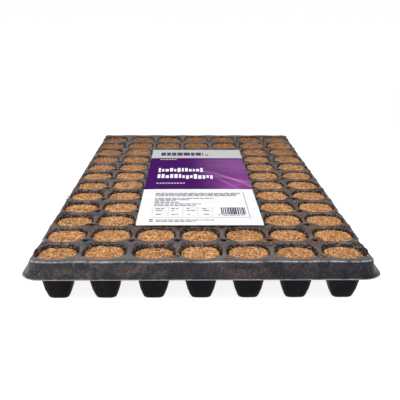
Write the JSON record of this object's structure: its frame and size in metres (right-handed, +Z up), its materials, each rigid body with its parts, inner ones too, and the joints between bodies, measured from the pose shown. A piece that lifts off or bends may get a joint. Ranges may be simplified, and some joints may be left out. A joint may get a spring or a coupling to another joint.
{
  "type": "plug tray",
  "caption": "Thermoformed seedling tray of tapered rounded-square cells, a coir plug standing loose in every cell and a label card lying on the deck.",
  "frame": {"origin": "middle of the tray's footprint, on the plane of the undersides of the cell floors", "axes": "+X across the tray, along the rows of 7 cells; +Y along the tray, along the columns of 12 cells; +Z up, out of the open ends of the cells"},
  "size_m": [0.31, 0.53, 0.0444],
  "materials": {
    "black_sheet": "satin",
    "coir": "matte",
    "printed_card": "satin"
  },
  "bodies": {
    "tray": {"cell_tray": "black_sheet", "plugs_under_card": "coir"},
    "card": {"label_card": "printed_card"},
    "plug_r01_c1": {"plug_r01_c1": "coir"},
    "plug_r01_c2": {"plug_r01_c2": "coir"},
    "plug_r01_c3": {"plug_r01_c3": "coir"},
    "plug_r01_c4": {"plug_r01_c4": "coir"},
    "plug_r01_c5": {"plug_r01_c5": "coir"},
    "plug_r01_c6": {"plug_r01_c6": "coir"},
    "plug_r01_c7": {"plug_r01_c7": "coir"},
    "plug_r02_c1": {"plug_r02_c1": "coir"},
    "plug_r02_c2": {"plug_r02_c2": "coir"},
    "plug_r02_c3": {"plug_r02_c3": "coir"},
    "plug_r02_c4": {"plug_r02_c4": "coir"},
    "plug_r02_c5": {"plug_r02_c5": "coir"},
    "plug_r02_c6": {"plug_r02_c6": "coir"},
    "plug_r02_c7": {"plug_r02_c7": "coir"},
    "plug_r03_c1": {"plug_r03_c1": "coir"},
    "plug_r03_c2": {"plug_r03_c2": "coir"},
    "plug_r03_c6": {"plug_r03_c6": "coir"},
    "plug_r03_c7": {"plug_r03_c7": "coir"},
    "plug_r04_c1": {"plug_r04_c1": "coir"},
    "plug_r04_c2": {"plug_r04_c2": "coir"},
    "plug_r04_c6": {"plug_r04_c6": "coir"},
    "plug_r04_c7": {"plug_r04_c7": "coir"},
    "plug_r05_c1": {"plug_r05_c1": "coir"},
    "plug_r05_c2": {"plug_r05_c2": "coir"},
    "plug_r05_c6": {"plug_r05_c6": "coir"},
    "plug_r05_c7": {"plug_r05_c7": "coir"},
    "plug_r06_c1": {"plug_r06_c1": "coir"},
    "plug_r06_c2": {"plug_r06_c2": "coir"},
    "plug_r06_c6": {"plug_r06_c6": "coir"},
    "plug_r06_c7": {"plug_r06_c7": "coir"},
    "plug_r07_c1": {"plug_r07_c1": "coir"},
    "plug_r07_c2": {"plug_r07_c2": "coir"},
    "plug_r07_c6": {"plug_r07_c6": "coir"},
    "plug_r07_c7": {"plug_r07_c7": "coir"},
    "plug_r08_c1": {"plug_r08_c1": "coir"},
    "plug_r08_c2": {"plug_r08_c2": "coir"},
    "plug_r08_c6": {"plug_r08_c6": "coir"},
    "plug_r08_c7": {"plug_r08_c7": "coir"},
    "plug_r09_c1": {"plug_r09_c1": "coir"},
    "plug_r09_c2": {"plug_r09_c2": "coir"},
    "plug_r09_c6": {"plug_r09_c6": "coir"},
    "plug_r09_c7": {"plug_r09_c7": "coir"},
    "plug_r10_c1": {"plug_r10_c1": "coir"},
    "plug_r10_c2": {"plug_r10_c2": "coir"},
    "plug_r10_c6": {"plug_r10_c6": "coir"},
    "plug_r10_c7": {"plug_r10_c7": "coir"},
    "plug_r11_c1": {"plug_r11_c1": "coir"},
    "plug_r11_c2": {"plug_r11_c2": "coir"},
    "plug_r11_c6": {"plug_r11_c6": "coir"},
    "plug_r11_c7": {"plug_r11_c7": "coir"},
    "plug_r12_c1": {"plug_r12_c1": "coir"},
    "plug_r12_c2": {"plug_r12_c2": "coir"},
    "plug_r12_c6": {"plug_r12_c6": "coir"},
    "plug_r12_c7": {"plug_r12_c7": "coir"},
    "plug_pair_c3_r11_r12": {"plug_pair_c3_r11_r12": "coir"},
    "plug_pair_c4_r11_r12": {"plug_pair_c4_r11_r12": "coir"},
    "plug_pair_c5_r11_r12": {"plug_pair_c5_r11_r12": "coir"}
  },
  "joints": [
    {"name": "card_lift", "type": "slide", "parent": "tray", "child": "card", "axis": [0, 0, 1], "range_m": [0, 0.08]},
    {"name": "plug_r01_c1_lift", "type": "slide", "parent": "tray", "child": "plug_r01_c1", "axis": [0, 0, 1], "range_m": [0, 0.06]},
    {"name": "plug_r01_c2_lift", "type": "slide", "parent": "tray", "child": "plug_r01_c2", "axis": [0, 0, 1], "range_m": [0, 0.06]},
    {"name": "plug_r01_c3_lift", "type": "slide", "parent": "tray", "child": "plug_r01_c3", "axis": [0, 0, 1], "range_m": [0, 0.06]},
    {"name": "plug_r01_c4_lift", "type": "slide", "parent": "tray", "child": "plug_r01_c4", "axis": [0, 0, 1], "range_m": [0, 0.06]},
    {"name": "plug_r01_c5_lift", "type": "slide", "parent": "tray", "child": "plug_r01_c5", "axis": [0, 0, 1], "range_m": [0, 0.06]},
    {"name": "plug_r01_c6_lift", "type": "slide", "parent": "tray", "child": "plug_r01_c6", "axis": [0, 0, 1], "range_m": [0, 0.06]},
    {"name": "plug_r01_c7_lift", "type": "slide", "parent": "tray", "child": "plug_r01_c7", "axis": [0, 0, 1], "range_m": [0, 0.06]},
    {"name": "plug_r02_c1_lift", "type": "slide", "parent": "tray", "child": "plug_r02_c1", "axis": [0, 0, 1], "range_m": [0, 0.06]},
    {"name": "plug_r02_c2_lift", "type": "slide", "parent": "tray", "child": "plug_r02_c2", "axis": [0, 0, 1], "range_m": [0, 0.06]},
    {"name": "plug_r02_c3_lift", "type": "slide", "parent": "tray", "child": "plug_r02_c3", "axis": [0, 0, 1], "range_m": [0, 0.06]},
    {"name": "plug_r02_c4_lift", "type": "slide", "parent": "tray", "child": "plug_r02_c4", "axis": [0, 0, 1], "range_m": [0, 0.06]},
    {"name": "plug_r02_c5_lift", "type": "slide", "parent": "tray", "child": "plug_r02_c5", "axis": [0, 0, 1], "range_m": [0, 0.06]},
    {"name": "plug_r02_c6_lift", "type": "slide", "parent": "tray", "child": "plug_r02_c6", "axis": [0, 0, 1], "range_m": [0, 0.06]},
    {"name": "plug_r02_c7_lift", "type": "slide", "parent": "tray", "child": "plug_r02_c7", "axis": [0, 0, 1], "range_m": [0, 0.06]},
    {"name": "plug_r03_c1_lift", "type": "slide", "parent": "tray", "child": "plug_r03_c1", "axis": [0, 0, 1], "range_m": [0, 0.06]},
    {"name": "plug_r03_c2_lift", "type": "slide", "parent": "tray", "child": "plug_r03_c2", "axis": [0, 0, 1], "range_m": [0, 0.06]},
    {"name": "plug_r03_c6_lift", "type": "slide", "parent": "tray", "child": "plug_r03_c6", "axis": [0, 0, 1], "range_m": [0, 0.06]},
    {"name": "plug_r03_c7_lift", "type": "slide", "parent": "tray", "child": "plug_r03_c7", "axis": [0, 0, 1], "range_m": [0, 0.06]},
    {"name": "plug_r04_c1_lift", "type": "slide", "parent": "tray", "child": "plug_r04_c1", "axis": [0, 0, 1], "range_m": [0, 0.06]},
    {"name": "plug_r04_c2_lift", "type": "slide", "parent": "tray", "child": "plug_r04_c2", "axis": [0, 0, 1], "range_m": [0, 0.06]},
    {"name": "plug_r04_c6_lift", "type": "slide", "parent": "tray", "child": "plug_r04_c6", "axis": [0, 0, 1], "range_m": [0, 0.06]},
    {"name": "plug_r04_c7_lift", "type": "slide", "parent": "tray", "child": "plug_r04_c7", "axis": [0, 0, 1], "range_m": [0, 0.06]},
    {"name": "plug_r05_c1_lift", "type": "slide", "parent": "tray", "child": "plug_r05_c1", "axis": [0, 0, 1], "range_m": [0, 0.06]},
    {"name": "plug_r05_c2_lift", "type": "slide", "parent": "tray", "child": "plug_r05_c2", "axis": [0, 0, 1], "range_m": [0, 0.06]},
    {"name": "plug_r05_c6_lift", "type": "slide", "parent": "tray", "child": "plug_r05_c6", "axis": [0, 0, 1], "range_m": [0, 0.06]},
    {"name": "plug_r05_c7_lift", "type": "slide", "parent": "tray", "child": "plug_r05_c7", "axis": [0, 0, 1], "range_m": [0, 0.06]},
    {"name": "plug_r06_c1_lift", "type": "slide", "parent": "tray", "child": "plug_r06_c1", "axis": [0, 0, 1], "range_m": [0, 0.06]},
    {"name": "plug_r06_c2_lift", "type": "slide", "parent": "tray", "child": "plug_r06_c2", "axis": [0, 0, 1], "range_m": [0, 0.06]},
    {"name": "plug_r06_c6_lift", "type": "slide", "parent": "tray", "child": "plug_r06_c6", "axis": [0, 0, 1], "range_m": [0, 0.06]},
    {"name": "plug_r06_c7_lift", "type": "slide", "parent": "tray", "child": "plug_r06_c7", "axis": [0, 0, 1], "range_m": [0, 0.06]},
    {"name": "plug_r07_c1_lift", "type": "slide", "parent": "tray", "child": "plug_r07_c1", "axis": [0, 0, 1], "range_m": [0, 0.06]},
    {"name": "plug_r07_c2_lift", "type": "slide", "parent": "tray", "child": "plug_r07_c2", "axis": [0, 0, 1], "range_m": [0, 0.06]},
    {"name": "plug_r07_c6_lift", "type": "slide", "parent": "tray", "child": "plug_r07_c6", "axis": [0, 0, 1], "range_m": [0, 0.06]},
    {"name": "plug_r07_c7_lift", "type": "slide", "parent": "tray", "child": "plug_r07_c7", "axis": [0, 0, 1], "range_m": [0, 0.06]},
    {"name": "plug_r08_c1_lift", "type": "slide", "parent": "tray", "child": "plug_r08_c1", "axis": [0, 0, 1], "range_m": [0, 0.06]},
    {"name": "plug_r08_c2_lift", "type": "slide", "parent": "tray", "child": "plug_r08_c2", "axis": [0, 0, 1], "range_m": [0, 0.06]},
    {"name": "plug_r08_c6_lift", "type": "slide", "parent": "tray", "child": "plug_r08_c6", "axis": [0, 0, 1], "range_m": [0, 0.06]},
    {"name": "plug_r08_c7_lift", "type": "slide", "parent": "tray", "child": "plug_r08_c7", "axis": [0, 0, 1], "range_m": [0, 0.06]},
    {"name": "plug_r09_c1_lift", "type": "slide", "parent": "tray", "child": "plug_r09_c1", "axis": [0, 0, 1], "range_m": [0, 0.06]},
    {"name": "plug_r09_c2_lift", "type": "slide", "parent": "tray", "child": "plug_r09_c2", "axis": [0, 0, 1], "range_m": [0, 0.06]},
    {"name": "plug_r09_c6_lift", "type": "slide", "parent": "tray", "child": "plug_r09_c6", "axis": [0, 0, 1], "range_m": [0, 0.06]},
    {"name": "plug_r09_c7_lift", "type": "slide", "parent": "tray", "child": "plug_r09_c7", "axis": [0, 0, 1], "range_m": [0, 0.06]},
    {"name": "plug_r10_c1_lift", "type": "slide", "parent": "tray", "child": "plug_r10_c1", "axis": [0, 0, 1], "range_m": [0, 0.06]},
    {"name": "plug_r10_c2_lift", "type": "slide", "parent": "tray", "child": "plug_r10_c2", "axis": [0, 0, 1], "range_m": [0, 0.06]},
    {"name": "plug_r10_c6_lift", "type": "slide", "parent": "tray", "child": "plug_r10_c6", "axis": [0, 0, 1], "range_m": [0, 0.06]},
    {"name": "plug_r10_c7_lift", "type": "slide", "parent": "tray", "child": "plug_r10_c7", "axis": [0, 0, 1], "range_m": [0, 0.06]},
    {"name": "plug_r11_c1_lift", "type": "slide", "parent": "tray", "child": "plug_r11_c1", "axis": [0, 0, 1], "range_m": [0, 0.06]},
    {"name": "plug_r11_c2_lift", "type": "slide", "parent": "tray", "child": "plug_r11_c2", "axis": [0, 0, 1], "range_m": [0, 0.06]},
    {"name": "plug_r11_c6_lift", "type": "slide", "parent": "tray", "child": "plug_r11_c6", "axis": [0, 0, 1], "range_m": [0, 0.06]},
    {"name": "plug_r11_c7_lift", "type": "slide", "parent": "tray", "child": "plug_r11_c7", "axis": [0, 0, 1], "range_m": [0, 0.06]},
    {"name": "plug_r12_c1_lift", "type": "slide", "parent": "tray", "child": "plug_r12_c1", "axis": [0, 0, 1], "range_m": [0, 0.06]},
    {"name": "plug_r12_c2_lift", "type": "slide", "parent": "tray", "child": "plug_r12_c2", "axis": [0, 0, 1], "range_m": [0, 0.06]},
    {"name": "plug_r12_c6_lift", "type": "slide", "parent": "tray", "child": "plug_r12_c6", "axis": [0, 0, 1], "range_m": [0, 0.06]},
    {"name": "plug_r12_c7_lift", "type": "slide", "parent": "tray", "child": "plug_r12_c7", "axis": [0, 0, 1], "range_m": [0, 0.06]},
    {"name": "plug_pair_c3_r11_r12_lift", "type": "slide", "parent": "tray", "child": "plug_pair_c3_r11_r12", "axis": [0, 0, 1], "range_m": [0, 0.06]},
    {"name": "plug_pair_c4_r11_r12_lift", "type": "slide", "parent": "tray", "child": "plug_pair_c4_r11_r12", "axis": [0, 0, 1], "range_m": [0, 0.06]},
    {"name": "plug_pair_c5_r11_r12_lift", "type": "slide", "parent": "tray", "child": "plug_pair_c5_r11_r12", "axis": [0, 0, 1], "range_m": [0, 0.06]}
  ]
}
